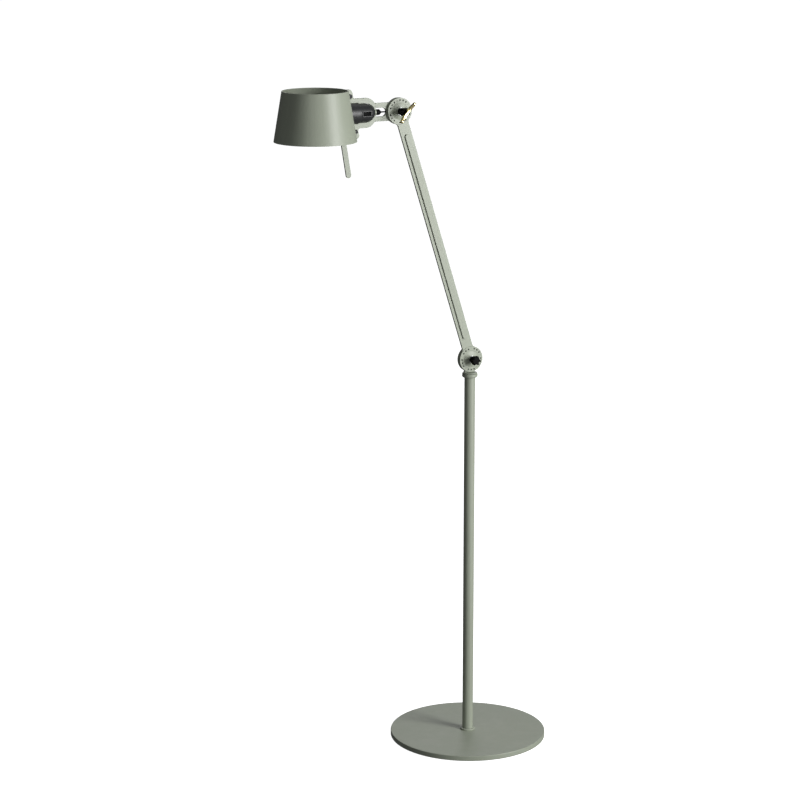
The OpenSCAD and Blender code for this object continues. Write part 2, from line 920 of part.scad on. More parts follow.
module bracket_openings() {
    translate([0, head_z]) {
        for (side = [0, 1]) {
            mirror([0, side]) mirror([1, -1]) dome_profile(wall_x(head_z) - 20, holder_gap);
        }
        translate([wall_x(head_z) - 20, -holder_collar_r - holder_gap]) {
            square([collar_right + holder_gap - wall_x(head_z) + 20, 2 * (holder_collar_r + holder_gap)]);
        }
        round_right(slot_left, slot_left + slot_len, slot_w / 2, slot_w / 2 - 0.01);
    }
}

module shade_solid(inset, extra) {
    r0 = shade_r(shade_bottom - extra) - inset;
    r1 = shade_r(shade_top + extra) - inset;
    at_shade() translate([0, 0, shade_bottom - extra]) {
        cylinder(r1 = r0, r2 = r1, h = shade_h + 2 * extra, $fn = 128);
    }
}

module head_bracket() {
    color(sage) difference() {
        union() {
            slab(plate_front, plate_back) difference() {
                bracket_outline();
                bracket_openings();
            }
            at_holder() bar_x(boss_r, bridge_left, slot_left);
        }
        shade_solid(0, 20);
        at_holder() bar_x(nipple_r + turn_fit, bridge_left - past, slot_left + past);
        at_holder() bar_x(lead_hole_r, slot_left + slot_len - past, upper_x - hub_r - 1);
        at_upper() plate_pocket();
        at_upper() bar_y(bolt_r + turn_fit, plate_front - past, plate_back + past);
        flange_screw_places() bar_y(flange_screw_r + turn_fit, plate_front - past, plate_back + past);
    }
}

module flange_screw_places() {
    for (z = screw_zs) {
        translate([wall_x(z) + flange_w / 2, 0, z]) children();
    }
}

module flange_screws() {
    head_r = 4.3;
    head_h = 2.4;
    color(black) flange_screw_places() {
        rotate([90, 0, 0]) rotate_extrude() polygon([
            [0, -plate_front], [head_r, -plate_front], [head_r, head_h - 1 - plate_front],
            [head_r - 1, head_h - plate_front], [1.6, head_h - plate_front],
            [1.6, head_h - 1.2 - plate_front], [0, head_h - 1.2 - plate_front]
        ]);
        bar_y(flange_screw_r, plate_front, plate_back + clip_plate_t + flange_nut_t + 0.6);
    }
}

module flange_nuts() {
    start = plate_back + clip_plate_t;
    color(steel) flange_screw_places() difference() {
        translate([0, start + flange_nut_t, 0]) rotate([90, 0, 0]) {
            cylinder(r = flange_screw_r * 2, h = flange_nut_t, $fn = 6);
        }
        bar_y(flange_screw_r, start - past, start + flange_nut_t + past);
    }
}

module upper_hinge_bolt() {
    at_upper() hinge_bolt();
}
module upper_friction_washer() {
    at_upper() friction_washer();
}

// The head's lead, from inside the lampholder, through the gland and the slot, to the hinge
module head_lead() {
    color(black) at_holder() bar_x(lead_r, cap_left + 6, upper_x - lead_end);
}

// ---- Lampholder ----

module cable_gland() {
    color(black) at_holder() difference() {
        rotate([0, 90, 0]) rotate_extrude() polygon([
            [0, slot_left], [gland_r - 0.4, slot_left], [gland_r, slot_left + 0.4],
            [gland_r, gland_right - 0.4], [gland_r - 0.6, gland_right], [lead_r + 1, gland_tip],
            [0, gland_tip]
        ]);
        bar_x(nipple_r, slot_left - past, slot_left + 4);
        bar_x(lead_r + 0.1, slot_left, gland_tip + past);
    }
}

module holder_nipple() {
    color(steel) at_holder() difference() {
        bar_x(nipple_r, holder_right - 5, slot_left + 3.9);
        bar_x(lead_r + 0.4, holder_right - 5 - past, slot_left + 4 + past);
    }
}

// Half outline of the lampholder's closed end, from start up, grown by grow on every side
module dome_profile(start, grow) {
    r = holder_r + grow;
    foot = holder_right - dome_len;
    wide = dome_wide_r + grow;
    tight = dome_tight_r + grow;
    wide_x = r - wide;
    turn = [cos(dome_turn), sin(dome_turn)];
    tight_at = [wide_x, foot] + (wide - tight) * turn;
    intersection() {
        union() {
            translate([0, start]) square([r, foot - start]);
            intersection() {
                translate([wide_x, foot]) circle(wide);
                polygon([[wide_x, foot], [r + past, foot], [wide_x, foot] + 1.5 * wide * turn]);
            }
            translate(tight_at) circle(tight);
            polygon([
                [0, foot], [wide_x, foot] + wide * turn, tight_at + [0, tight], [0, tight_at[1] + tight]
            ]);
        }
        translate([0, start]) square([r, holder_right + grow - start]);
    }
}

module bezel_window(side) {
    half_w = rocker_w / 2 + air + 0.4 + side;
    half_h = rocker_h / 2 + air + side;
    translate([switch_x - half_w, plate_mid - holder_r - 4, head_z - half_h]) {
        cube([2 * half_w, 4 + bezel_depth, 2 * half_h]);
    }
}

module lampholder_cap() {
    color(black) difference() {
        at_holder() rotate([0, 90, 0]) rotate_extrude() {
            dome_profile(cap_left, 0);
        }
        at_holder() rotate([0, 90, 0]) rotate_extrude() {
            dome_profile(cap_left - past, -barrel_wall);
        }
        at_holder() bar_x(nipple_r, holder_right - barrel_wall - past, holder_right + past);
        bezel_window(bezel_wall);
    }
}

module lampholder_barrel() {
    color(black) at_holder() difference() {
        bar_x(holder_r, barrel_left, cap_left);
        bar_x(holder_bore_r, barrel_left - past, cap_left + past);
    }
}

module lampholder_collar() {
    color(black) difference() {
        at_holder() rotate([0, 90, 0]) rotate_extrude() polygon([
            [holder_r, collar_left], [holder_collar_r, collar_left],
            [holder_collar_r, collar_right - 0.8], [holder_collar_r - 0.8, collar_right],
            [holder_r, collar_right]
        ]);
        shade_solid(0, 20);
    }
}

module lampholder_ring() {
    color(black) at_holder() difference() {
        bar_x(ring_r, ring_right - ring_t, ring_right);
        bar_x(holder_r, ring_right - ring_t - past, ring_right + past);
    }
}

module lampholder_ceramic() {
    color([0.93, 0.92, 0.88]) at_holder() difference() {
        bar_x(holder_bore_r, ceramic_left, ceramic_right);
        bar_x(2.2, ceramic_left - past, ceramic_right + past);
    }
}

// Centre contact in the ceramic, and the screw shell round the bulb's cap
module lamp_contacts() {
    color(brass) at_holder() {
        bar_x(2.2, ceramic_left, ceramic_right + 1);
        difference() {
            bar_x(holder_bore_r, ceramic_left - 16, ceramic_left);
            bar_x(cap_r + loose_fit, ceramic_left - 16 - past, ceramic_left + past);
        }
    }
}

module switch_bezel() {
    front = plate_mid - holder_r - 0.8;
    color(black) difference() {
        intersection() {
            bezel_window(bezel_wall);
            translate([switch_x - 20, front, head_z - 20]) cube([40, 20, 40]);
        }
        translate([0, -2 * past, 0]) bezel_window(0);
        bezel_window(0);
        rocker_pivot(turn_fit);
    }
}

// The rocker's two trunnions, which sit in holes in the bezel
module rocker_pivot(fit) {
    half = rocker_h / 2 + air + bezel_wall / 2 + fit;
    translate([switch_x, rocker_pivot_y, head_z]) bar_z(trunnion_r + fit, -half, half);
}

// Rocker with a shallow valley across its face, pressed in at its left end
module switch_rocker() {
    half = rocker_w / 2 - 0.2;
    color([0.1, 0.1, 0.105]) {
        translate([switch_x, rocker_pivot_y, head_z - rocker_h / 2]) rotate([0, 0, -rocker_tilt]) {
            linear_extrude(rocker_h) polygon([
                [-half, -3.6], [0, -2.6], [half, -3.6], [half - 0.6, 1.2], [0.6 - half, 1.2]
            ]);
        }
        rocker_pivot(0);
    }
}

// ---- Bulb ----

module bulb_cap() {
    ridge = 0.45;
    turns = 5;
    pitch = (bulb_cap_len - 6) / turns;
    color(steel) at_holder() rotate([0, 90, 0]) rotate_extrude() polygon(concat(
        [[0, bulb_cap_left], [cap_r - ridge, bulb_cap_left]],
        [for (k = [0 : turns - 1]) for (s = [0, 1]) [
            cap_r - ridge * (1 - s), bulb_cap_left + 3 + pitch * (k + s / 2)
        ]],
        [[cap_r - ridge, bulb_cap_right - 3], [4.5, bulb_cap_right - 0.8],
         [4.5, bulb_cap_right], [0, bulb_cap_right]]
    ));
}

// Half outline of the bulb: a round end and a neck that runs off it without a corner
module bulb_profile(r, neck_r) {
    neck_len = bulb_cap_left - bulb_x;
    corner = atan2(neck_len, neck_r) - acos(r / norm([neck_r, neck_len]));
    intersection() {
        union() {
            circle(r);
            polygon([[0, 0], [r * cos(corner), r * sin(corner)], [neck_r, neck_len], [0, neck_len]]);
        }
        translate([0, -r]) square([r, r + neck_len]);
    }
}

module bulb_glass() {
    neck_r = cap_r - 0.6;
    color([0.95, 0.94, 0.9]) at_holder() translate([bulb_x, 0, 0]) rotate([0, 90, 0]) {
        rotate_extrude() difference() {
            bulb_profile(bulb_r, neck_r);
            bulb_profile(bulb_r - glass_wall, neck_r - glass_wall);
        }
    }
}

// ---- Shade and handle ----

module shade() {
    r0 = shade_bottom_d / 2;
    r1 = shade_top_d / 2;
    hem = shade_wall * 1.8;
    hem_run = hem_h * shade_slope;
    color(sage) difference() {
        at_shade() rotate_extrude($fn = 128) polygon([
            [r0, shade_bottom], [r1, shade_top], [r1 - hem, shade_top],
            [r1 - hem + hem_run, shade_top - hem_h], [r1 - shade_wall + hem_run, shade_top - hem_h],
            [r0 - shade_wall - hem_run, shade_bottom + hem_h], [r0 - hem - hem_run, shade_bottom + hem_h],
            [r0 - hem, shade_bottom]
        ]);
        at_holder() bar_x(holder_r + loose_fit, shade_x, wall_x(head_z) + 20);
        rivet_places() cylinder(r = rivet_r, h = 12, center = true);
    }
}

// A rivet's axis is square to the shade's wall
module rivet_places() {
    for (z = screw_zs) {
        turn = asin(rivet_offset / shade_r(z));
        at_shade() translate([0, 0, z]) rotate([0, 0, turn]) translate([shade_r(z), 0, 0]) {
            rotate([0, 90 - shade_angle, 0]) children();
        }
    }
}

module shade_rivets() {
    head_h = 1;
    head_r = 2.8;
    inner = -shade_wall / cos(shade_angle);
    color(steel) rivet_places() {
        translate([0, 0, inner]) cylinder(r = rivet_r, h = clip_plate_t - inner);
        translate([0, 0, clip_plate_t]) cylinder(r1 = head_r, r2 = rivet_r, h = head_h);
        translate([0, 0, inner - head_h]) cylinder(r1 = rivet_r, r2 = head_r, h = head_h);
    }
}

// Angle clips behind the flange: one leg on the flange, one round the shade
module shade_clips() {
    color(sage) for (z = screw_zs) {
        difference() {
            union() {
                slab(plate_back, plate_back + clip_plate_t) {
                    polygon([
                        [wall_x(z - clip_half_h) - 4, z - clip_half_h],
                        [wall_x(z - clip_half_h) + flange_w - 1.5, z - clip_half_h],
                        [wall_x(z + clip_half_h) + flange_w - 1.5, z + clip_half_h],
                        [wall_x(z + clip_half_h) - 4, z + clip_half_h]
                    ]);
                }
                intersection() {
                    shade_solid(-clip_plate_t, 20);
                    translate([shade_x + shade_r(z) / 2, plate_back, z - clip_half_h]) {
                        cube([shade_r(z), clip_depth, 2 * clip_half_h]);
                    }
                }
            }
            shade_solid(0, 20);
            flange_screw_places() bar_y(flange_screw_r + turn_fit, 0, plate_back + clip_depth);
            rivet_places() cylinder(r = rivet_r, h = 12, center = true);
        }
    }
}

// A flat bar along the inside of the shade, hung from an eyelet round the lampholder
module handle_bar() {
    color(sage) difference() {
        union() {
            intersection() {
                at_holder() bar_x(eyelet_r, eyelet_left, wall_x(head_z) + 10);
                shade_solid(shade_wall, 0);
            }
            slab(plate_mid - handle_t / 2, plate_mid + handle_t / 2) {
                polygon([
                    [handle_x(handle_end) - handle_w / 2, handle_end],
                    [handle_x(handle_end) + handle_w / 2, handle_end],
                    [handle_x(handle_top - 12) + handle_w / 2, handle_top - 12],
                    [eyelet_left + 6, handle_top - 2], [eyelet_left + 6, handle_top + 3],
                    [eyelet_left, handle_top + 3], [handle_x(handle_top) - handle_w / 2, handle_top]
                ]);
                translate([handle_x(handle_end), handle_end]) circle(handle_w / 2);
            }
        }
        at_holder() bar_x(holder_r + turn_fit, eyelet_left - past, wall_x(head_z) + 20);
        at_holder() bar_x(ring_r + loose_fit, eyelet_left - 2 * ring_t, eyelet_left);
    }
}

base_plate();
base_felt_pad();
base_stud();
base_stud_nut();
base_stud_washer();
lead_outlet_grommet();
pole_foot_ring();
pole_foot_plug();
pole_tube();
pole_collar();
swivel_bush();
swivel_washer();
pole_lead();
swivel_stem();
spigot_clip();
lower_hinge_bolt();
lower_friction_washer();
stem_lead();
arm();
arm_back_cover();
arm_cover_screws();
arm_lead();
lower_knob();
lower_knob_insert();
lower_knob_washer();
head_bracket();
upper_hinge_bolt();
upper_friction_washer();
head_lead();
upper_knob();
upper_knob_insert();
upper_knob_washer();
brass_wing();
cable_gland();
holder_nipple();
lampholder_cap();
lampholder_barrel();
lampholder_collar();
lampholder_ring();
lampholder_ceramic();
lamp_contacts();
switch_bezel();
switch_rocker();
bulb_cap();
bulb_glass();
shade();
shade_clips();
shade_rivets();
flange_screws();
flange_nuts();
handle_bar();
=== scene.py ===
import json
import math

import bmesh
import bpy
from mathutils import Matrix, Vector

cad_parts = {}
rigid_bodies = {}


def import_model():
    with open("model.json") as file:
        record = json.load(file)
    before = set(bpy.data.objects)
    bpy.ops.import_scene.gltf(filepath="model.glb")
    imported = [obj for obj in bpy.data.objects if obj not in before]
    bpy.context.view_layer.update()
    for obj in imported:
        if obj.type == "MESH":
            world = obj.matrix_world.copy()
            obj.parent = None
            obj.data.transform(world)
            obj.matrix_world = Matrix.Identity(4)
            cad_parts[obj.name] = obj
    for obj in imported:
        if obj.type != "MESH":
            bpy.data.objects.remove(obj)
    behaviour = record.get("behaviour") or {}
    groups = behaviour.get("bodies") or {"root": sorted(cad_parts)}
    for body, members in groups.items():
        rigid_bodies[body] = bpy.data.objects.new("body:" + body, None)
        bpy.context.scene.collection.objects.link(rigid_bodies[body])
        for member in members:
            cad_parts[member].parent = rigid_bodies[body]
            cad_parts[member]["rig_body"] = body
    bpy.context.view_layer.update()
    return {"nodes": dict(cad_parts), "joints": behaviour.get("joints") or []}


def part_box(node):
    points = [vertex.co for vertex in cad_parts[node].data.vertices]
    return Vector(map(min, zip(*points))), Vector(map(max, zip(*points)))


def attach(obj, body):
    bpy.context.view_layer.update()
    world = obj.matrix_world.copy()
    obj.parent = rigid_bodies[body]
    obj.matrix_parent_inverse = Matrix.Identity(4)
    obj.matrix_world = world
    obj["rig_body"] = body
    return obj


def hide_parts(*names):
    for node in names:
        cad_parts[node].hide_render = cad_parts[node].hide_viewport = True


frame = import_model()


# ---- Camera ----
# A long lens that looks from the front left and slightly down, from a little above the shade, so
# that the whole lamp stands in the frame.
camera_data = bpy.data.cameras.new("camera")
camera_data.lens = 112.2
camera_data.sensor_width = 36
camera_data.clip_end = 300
camera = bpy.data.objects.new("camera", camera_data)
camera.location = (-2.2914, -3.9895, 1.7288)
camera.rotation_euler = (math.radians(77.02), 0, math.radians(-28.23))
bpy.context.scene.collection.objects.link(camera)
bpy.context.scene.camera = camera
bpy.context.scene.view_settings.view_transform = "Standard"


# ---- Floor, backdrop and lights ----
# A plain white studio floor that runs on into a white backdrop. A large softbox stands at the
# front right, and weak ones fill from the front left, from above and from behind.
def put(tree, kind, feeds, **settings):
    """Add a node. feeds gives each socket its value, or the socket that feeds it."""
    node = tree.nodes.new(kind)
    for name, value in settings.items():
        setattr(node, name, value)
    for socket, value in feeds.items():
        if isinstance(value, bpy.types.NodeSocket):
            tree.links.new(value, node.inputs[socket])
        else:
            node.inputs[socket].default_value = value
    return node


def for_camera(tree, shown, unseen):
    """The shown shader where the camera looks at it, and the unseen one for all other light."""
    seen = put(tree, "ShaderNodeLightPath", {}).outputs["Is Camera Ray"]
    feeds = {0: seen, 1: unseen.outputs[0], 2: shown.outputs[0]}
    return put(tree, "ShaderNodeMixShader", feeds).outputs[0]


world = bpy.data.worlds.new("backdrop")
world.use_nodes = True
bpy.context.scene.world = world
sky = world.node_tree
sky.nodes.clear()
white = put(sky, "ShaderNodeBackground", {"Color": (1, 1, 1, 1), "Strength": 1.0})
dim = put(sky, "ShaderNodeBackground", {"Color": (0.94, 0.97, 1.0, 1), "Strength": 0.10})
put(sky, "ShaderNodeOutputWorld", {"Surface": for_camera(sky, white, dim)})

floor_paint = bpy.data.materials.new("white_floor")
floor_paint.use_nodes = True
tree = floor_paint.node_tree
tree.nodes.clear()
glow = put(tree, "ShaderNodeEmission", {"Color": (1, 1, 1, 1), "Strength": 0.97})
matt = put(tree, "ShaderNodeBsdfDiffuse", {"Color": (0.8, 0.8, 0.8, 1)})
shown = put(tree, "ShaderNodeAddShader", {0: glow.outputs[0], 1: matt.outputs[0]})
dull = put(tree, "ShaderNodeBsdfDiffuse", {"Color": (0.22, 0.22, 0.22, 1)})
put(tree, "ShaderNodeOutputMaterial", {"Surface": for_camera(tree, shown, dull)})

floor_half_width = 90
ground = bmesh.new()
bmesh.ops.create_grid(ground, x_segments=1, y_segments=1, size=floor_half_width)
floor_mesh = bpy.data.meshes.new("studio_floor")
ground.to_mesh(floor_mesh)
ground.free()
studio_floor = bpy.data.objects.new("studio_floor", floor_mesh)
floor_mesh.materials.append(floor_paint)
bpy.context.scene.collection.objects.link(studio_floor)


lamp_middle = Vector((-0.15, 0, 0.75))


def softbox(name, direction, distance, size, power):
    """A rectangular softbox at that direction and distance from the floor lamp's middle, facing it."""
    lamp = bpy.data.lights.new(name, "AREA")
    lamp.shape = "RECTANGLE"
    lamp.size, lamp.size_y = size
    lamp.energy = power
    holder = bpy.data.objects.new(name, lamp)
    holder.location = lamp_middle + Vector(direction).normalized() * distance
    holder.rotation_euler = (-Vector(direction)).to_track_quat("-Z", "Y").to_euler()
    holder.visible_camera = False
    bpy.context.scene.collection.objects.link(holder)


softbox("key_softbox", (0.52, -0.86, 0.20), distance=3.2, size=(1.3, 2.0), power=120)
softbox("front_fill", (-0.6, -1.0, 0.35), distance=4.0, size=(2.0, 2.0), power=12)
softbox("top_fill", (0.1, 0.2, 1.0), distance=3.0, size=(2.0, 2.0), power=11)
softbox("back_fill", (0.45, 1.0, 0.25), distance=4.0, size=(2.4, 1.4), power=14)


# ---- Base plate ----
# A disc of 10 mm steel plate, turned, with its edges broken, a recess and a lead channel milled
# underneath, and powder coated in satin sage green like every painted piece of the lamp.
def new_effect(name, inputs, outputs):
    """An empty node group with those inputs, with their values, and outputs."""
    effect = bpy.data.node_groups.new(name, "ShaderNodeTree")
    for socket, value in inputs.items():
        made = effect.interface.new_socket(socket, in_out="INPUT", socket_type="NodeSocketFloat")
        made.default_value = value
    for socket in outputs:
        effect.interface.new_socket(socket, in_out="OUTPUT", socket_type="NodeSocketFloat")
    return effect, effect.nodes.new("NodeGroupInput").outputs, effect.nodes.new("NodeGroupOutput")


def calc(tree, operation, *values):
    """A Math node's result."""
    return put(tree, "ShaderNodeMath", dict(enumerate(values)), operation=operation).outputs[0]


def ramp(tree, value, low, high, to_low=0.0, to_high=1.0):
    """value from low to high becomes to_low to to_high, and stays within them."""
    feeds = {"Value": value, "From Min": low, "From Max": high, "To Min": to_low, "To Max": to_high}
    return put(tree, "ShaderNodeMapRange", feeds).outputs[0]


def cloud(tree, scale, detail=2.0, place=None):
    """A noise, from 0 to 1, with scale patches to the metre."""
    place = place or put(tree, "ShaderNodeTexCoord", {}).outputs["Object"]
    feeds = {"Vector": place, "Scale": scale, "Detail": detail}
    return put(tree, "ShaderNodeTexNoise", feeds).outputs["Fac"]


# Small bumps at two sizes, and a slow drift of tone over the piece
skin, given, result = new_effect("skin", {"Scale": 1000.0, "Fine": 0.35}, ["Height", "Drift"])
coarse = cloud(skin, given["Scale"])
fine = cloud(skin, calc(skin, "MULTIPLY", given["Scale"], 3.6), 1.0)
both = calc(skin, "ADD", calc(skin, "MULTIPLY", fine, given["Fine"]), coarse)
skin.links.new(both, result.inputs["Height"])
skin.links.new(ramp(skin, cloud(skin, 7.0, 4.0), 0.3, 0.7, -1.0, 1.0), result.inputs["Drift"])

# An edge band: where a rounded normal leaves the true one, broken up by a fine noise. Finishes lighten it
# as rubbed edges; in the powder coat the lighter edges are also a painted highlight.
edge_band, given, result = new_effect("edge_band", {"Width": 0.0015}, ["Mask"])
round_normal = put(edge_band, "ShaderNodeBevel", {"Radius": given["Width"]}, samples=6).outputs[0]
true_normal = put(edge_band, "ShaderNodeNewGeometry", {}).outputs["Normal"]
agree = put(edge_band, "ShaderNodeVectorMath", {0: round_normal, 1: true_normal}, operation="DOT_PRODUCT")
edge = ramp(edge_band, agree.outputs["Value"], 0.995, 0.90)
patchy = ramp(edge_band, cloud(edge_band, 160.0, 4.0), 0.35, 0.65, 0.35, 1.0)
edge_band.links.new(calc(edge_band, "MULTIPLY", edge, patchy), result.inputs["Mask"])

# Dust, which settles on faces that look up
dust, given, result = new_effect("dust", {"Amount": 0.3}, ["Mask"])
upright = put(dust, "ShaderNodeTexCoord", {}).outputs["Normal"]
up = put(dust, "ShaderNodeSeparateXYZ", {0: upright}).outputs["Z"]
drifts = ramp(dust, cloud(dust, 45.0, 6.0), 0.42, 0.72)
settled = calc(dust, "MULTIPLY", drifts, ramp(dust, up, 0.6, 0.95))
dust.links.new(calc(dust, "MULTIPLY", settled, given["Amount"]), result.inputs["Mask"])


def use(tree, group, **values):
    """Place a shared effect in a material with its own values, and give its outputs."""
    node = put(tree, "ShaderNodeGroup", {}, node_tree=group)
    for name, value in values.items():
        node.inputs[name].default_value = value
    return node.outputs


def blend(tree, factor, colour_a, colour_b):
    """colour_a, turning to colour_b as factor rises."""
    feeds = {0: factor, 6: colour_a, 7: colour_b}
    return put(tree, "ShaderNodeMix", feeds, data_type="RGBA").outputs[2]


def tint(colour, factor):
    """A colour, lightened or darkened, with its alpha."""
    return (*[channel * factor for channel in colour[:3]], 1)


def new_finish(name, settings):
    """A material, its node tree and its Principled shader, with those plain values set."""
    finish = bpy.data.materials.new(name)
    finish.use_nodes = True
    shader = finish.node_tree.nodes["Principled BSDF"]
    for socket, value in settings.items():
        shader.inputs[socket].default_value = value
    return finish, finish.node_tree, shader


def connect(tree, shader, colour, roughness, height, depth):
    """Feed the shader its colour and roughness, and its normal from a height of depth metres."""
    bump = put(tree, "ShaderNodeBump", {"Height": height, "Distance": depth, "Strength": 1.0})
    tree.links.new(colour, shader.inputs["Base Color"])
    tree.links.new(roughness, shader.inputs["Roughness"])
    tree.links.new(bump.outputs[0], shader.inputs["Normal"])


def powder_coat(name, colour, gloss):
    """Satin powder coat: a fine orange peel, a slow drift of tone, paler edges that are partly worn coat
    and partly a painted highlight, and a little dust.
    """
    finish, tree, shader = new_finish(name, {"IOR": 1.52})
    peel = use(tree, skin, Scale=900.0, Fine=0.3)
    edge_mask = use(tree, edge_band, Width=0.0012)["Mask"]
    dusty = use(tree, dust, Amount=0.12)["Mask"]
    drift = ramp(tree, peel["Drift"], -1.0, 1.0)
    body = blend(tree, drift, tint(colour, 0.97), tint(colour, 1.03))
    # Paler edges: partly the coat worn thin, partly a painted highlight along every edge
    edge_wear_and_highlight = calc(tree, "MULTIPLY", edge_mask, 0.18)
    edged = blend(tree, edge_wear_and_highlight, body, tint(colour, 1.3))
    dusted = blend(tree, dusty, edged, (0.62, 0.62, 0.58, 1))
    satin = ramp(tree, peel["Drift"], -1.0, 1.0, gloss - 0.03, gloss + 0.03)
    polished = calc(tree, "MULTIPLY", edge_mask, -0.08)
    dulled = calc(tree, "MULTIPLY", dusty, 0.3)
    rough = calc(tree, "ADD", dulled, calc(tree, "ADD", polished, satin))
    connect(tree, shader, dusted, rough, peel["Height"], depth=0.00003)
    return finish


sage_coat = powder_coat("sage_powder_coat", (0.315, 0.345, 0.275), gloss=0.45)

# Corners nearer than merge_gap are one corner, and faces that bend less than flat_bend are one
# face. Edges sharper than sharp_edge are rounded. Shading breaks at those over shading_break.
merge_gap = 0.00003
flat_bend = math.radians(0.6)
sharp_edge = math.radians(28)
shading_break = math.radians(38)


def merged_copy(*nodes):
    """The CAD nodes' own meshes as one bmesh, with corners merged and flat faces made whole."""
    bm = bmesh.new()
    for node in nodes:
        bm.from_mesh(frame["nodes"][node].data)
    bmesh.ops.remove_doubles(bm, verts=bm.verts, dist=merge_gap)
    bmesh.ops.dissolve_limit(bm, angle_limit=flat_bend, verts=bm.verts, edges=bm.edges)
    return bm


def soften(bm, radius, segments=2, chosen=lambda edge: True):
    """Round every chosen edge that is sharp."""
    sharp = [
        edge for edge in bm.edges
        if len(edge.link_faces) == 2 and edge.calc_face_angle() > sharp_edge and chosen(edge)
    ]
    bmesh.ops.bevel(
        bm, geom=sharp, offset=radius, segments=segments, profile=0.5, affect="EDGES",
        clamp_overlap=False, material=-1
    )


def fit(bm, name, node, slot, *finishes):
    """Make the bmesh the finished piece that stands for a CAD node, on its body, in those finishes. slot
    is not used.
    """
    mesh = bpy.data.meshes.new(name)
    bm.to_mesh(mesh)
    bm.free()
    mesh.shade_smooth()
    mesh.set_sharp_from_angle(angle=shading_break)
    for finish in finishes:
        mesh.materials.append(finish)
    piece = bpy.data.objects.new(name, mesh)
    bpy.context.scene.collection.objects.link(piece)
    even = piece.modifiers.new("even_shading", "WEIGHTED_NORMAL")
    even.keep_sharp = True
    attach(piece, frame["nodes"][node]["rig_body"])
    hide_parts(node)


def soften_node(node, slot, finish, radius, segments=2):
    """A CAD node's own shape, with its edges rounded, in its finish."""
    bm = merged_copy(node)
    soften(bm, radius, segments)
    fit(bm, node + "_finished", node, slot, finish)


soften_node("base_plate", "sage_paint", sage_coat, radius=0.0004)


# ---- Pad under the base ----
# A thin disc of pressed grey felt, a little smaller than the base and glued under it, so that the
# lamp doesn't mark the floor.
def finish_node(node, finish):
    """A CAD node stays as it is, in that finish."""
    slots = frame["nodes"][node].data.materials
    slots.clear()
    slots.append(finish)


grey_felt, tree, shader = new_finish("grey_felt", {"Sheen Weight": 0.4, "Sheen Roughness": 0.6})
fibres = put(tree, "ShaderNodeTexVoronoi", {"Scale": 1500.0}, feature="DISTANCE_TO_EDGE")
tree.links.new(put(tree, "ShaderNodeTexCoord", {}).outputs["Object"], fibres.inputs["Vector"])
mottle = cloud(tree, 600.0, 5.0)
felt_colour = blend(tree, mottle, (0.035, 0.036, 0.038, 1), (0.11, 0.11, 0.11, 1))
felt_rough = ramp(tree, mottle, 0, 1, 0.9, 1.0)
connect(tree, shader, felt_colour, felt_rough, fibres.outputs["Distance"], depth=0.0004)
finish_node("base_felt_pad", grey_felt)


# ---- Clamping stud and the other zinc-plated fixings ----
# Turned or stamped steel with a bright zinc plate, which shows fine tool lines and patches of a
# bluer grey. The hollow stud, its nut and its washer clamp the pole to the base.
lines, given, result = new_effect("lines", {"Pitch": 3000.0}, ["Height", "Streaks"])
place = put(lines, "ShaderNodeTexCoord", {}).outputs["Object"]
along = put(lines, "ShaderNodeMapping", {"Vector": place, "Scale": (0.03, 1.0, 1.0)}).outputs[0]
turned = cloud(lines, given["Pitch"], 2.0, along)
streaks = cloud(lines, calc(lines, "MULTIPLY", given["Pitch"], 0.12), 3.0, along)
lines.links.new(turned, result.inputs["Height"])
lines.links.new(streaks, result.inputs["Streaks"])


def plated(name, colour, stain, gloss, pitch):
    """Plated or bare metal with fine tool lines, a patchy tone and bright rubbed edges."""
    finish, tree, shader = new_finish(name, {"Metallic": 1.0})
    tool = use(tree, lines, Pitch=pitch)
    edge_mask = use(tree, edge_band, Width=0.0005)["Mask"]
    patches = ramp(tree, cloud(tree, 220.0, 4.0), 0.35, 0.7)
    body = blend(tree, patches, tint(colour, 1.0), tint(stain, 1.0))
    edged = blend(tree, calc(tree, "MULTIPLY", edge_mask, 0.5), body, tint(colour, 1.12))
    rough = ramp(tree, tool["Streaks"], 0.3, 0.7, gloss - 0.06, gloss + 0.08)
    connect(tree, shader, edged, rough, tool["Height"], depth=0.000006)
    return finish


zinc_plate = plated("zinc_plated_steel", (0.62, 0.64, 0.66), (0.50, 0.53, 0.57), gloss=0.32, pitch=2600.0)
for node in ("base_stud", "base_stud_nut", "base_stud_washer", "spigot_clip", "pole_foot_plug"):
    soften_node(node, "zinc_steel", zinc_plate, radius=0.0002)
for node in ("flange_nuts", "shade_rivets", "holder_nipple", "lower_knob_washer", "upper_knob_washer"):
    finish_node(node, zinc_plate)


# ---- Lead outlet grommet ----
# A soft black rubber grommet, pressed into a notch under the base's back edge, where the mains
# lead would come out.
def moulded(name, colour, gloss, grain, depth, shine=0.16):
    """Moulded plastic or rubber: a fine eroded grain, a little mottling and edges rubbed paler."""
    finish, tree, shader = new_finish(name, {"IOR": 1.5, "Specular IOR Level": shine})
    surface = use(tree, skin, Scale=grain, Fine=0.5)
    edge_mask = use(tree, edge_band, Width=0.0008)["Mask"]
    dusty = use(tree, dust, Amount=0.05)["Mask"]
    mottled = blend(tree, ramp(tree, surface["Drift"], -1, 1), tint(colour, 0.85), tint(colour, 1.15))
    edged = blend(tree, calc(tree, "MULTIPLY", edge_mask, 0.3), mottled, tint(colour, 1.6))
    dusted = blend(tree, dusty, edged, (0.3, 0.3, 0.29, 1))
    handled = ramp(tree, cloud(tree, 70.0, 4.0), 0.35, 0.65, gloss - 0.05, gloss + 0.06)
    connect(tree, shader, dusted, handled, surface["Height"], depth)
    return finish


black_rubber = moulded("black_rubber", (0.018, 0.018, 0.019), gloss=0.62, grain=3000.0, depth=0.00002)
soften_node("lead_outlet_grommet", "black_rubber", black_rubber, radius=0.0003)


